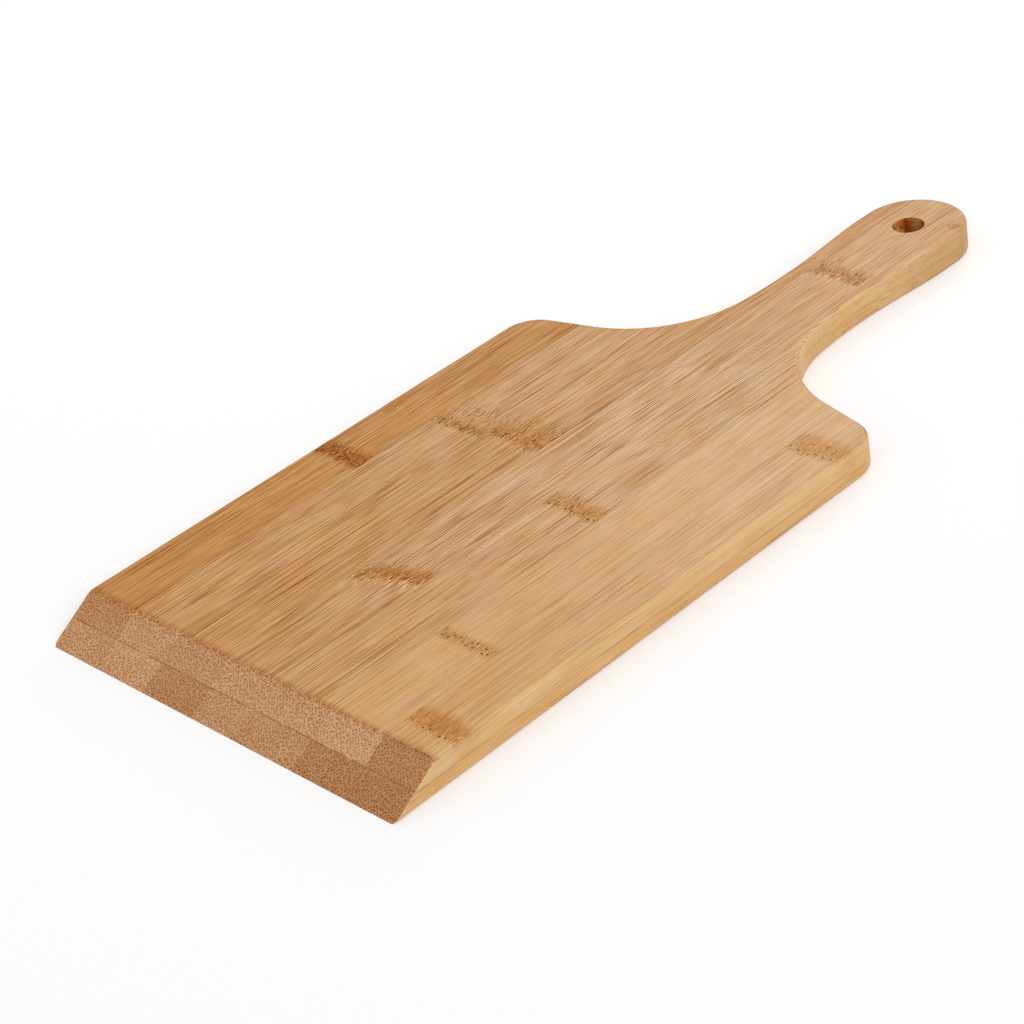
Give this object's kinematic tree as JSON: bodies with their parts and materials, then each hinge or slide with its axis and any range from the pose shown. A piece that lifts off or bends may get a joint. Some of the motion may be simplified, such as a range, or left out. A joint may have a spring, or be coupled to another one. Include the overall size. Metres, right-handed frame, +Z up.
{
  "type": "spaetzle board",
  "caption": "Flat bamboo board for scraping spaetzle dough: bevelled front edge, square shoulders, waisted handle with a hanging hole.",
  "frame": {"origin": "middle of the underside, on the surface that the board lies on", "axes": "+Y from the bevelled front edge to the handle's tip, +Z up out of the working face, +X to the right when looking along +Y"},
  "size_m": [0.14, 0.315, 0.01],
  "materials": {
    "bamboo_top_strip_1": "oiled, fine sanded",
    "bamboo_top_strip_2": "oiled, fine sanded",
    "bamboo_top_strip_3": "oiled, fine sanded",
    "bamboo_top_strip_4": "oiled, fine sanded",
    "bamboo_top_strip_5": "oiled, fine sanded",
    "bamboo_top_strip_6": "oiled, fine sanded",
    "bamboo_top_strip_7": "oiled, fine sanded",
    "bamboo_bottom_strip_1": "oiled, fine sanded",
    "bamboo_bottom_strip_2": "oiled, fine sanded",
    "bamboo_bottom_strip_3": "oiled, fine sanded",
    "bamboo_bottom_strip_4": "oiled, fine sanded",
    "bamboo_bottom_strip_5": "oiled, fine sanded",
    "bamboo_bottom_strip_6": "oiled, fine sanded",
    "bamboo_bottom_strip_7": "oiled, fine sanded"
  },
  "bodies": {
    "root": {"top_strip_1": "bamboo_top_strip_1", "top_strip_2": "bamboo_top_strip_2", "top_strip_3": "bamboo_top_strip_3", "top_strip_4": "bamboo_top_strip_4", "top_strip_5": "bamboo_top_strip_5", "top_strip_6": "bamboo_top_strip_6", "top_strip_7": "bamboo_top_strip_7", "bottom_strip_1": "bamboo_bottom_strip_1", "bottom_strip_2": "bamboo_bottom_strip_2", "bottom_strip_3": "bamboo_bottom_strip_3", "bottom_strip_4": "bamboo_bottom_strip_4", "bottom_strip_5": "bamboo_bottom_strip_5", "bottom_strip_6": "bamboo_bottom_strip_6", "bottom_strip_7": "bamboo_bottom_strip_7"}
  },
  "joints": []
}
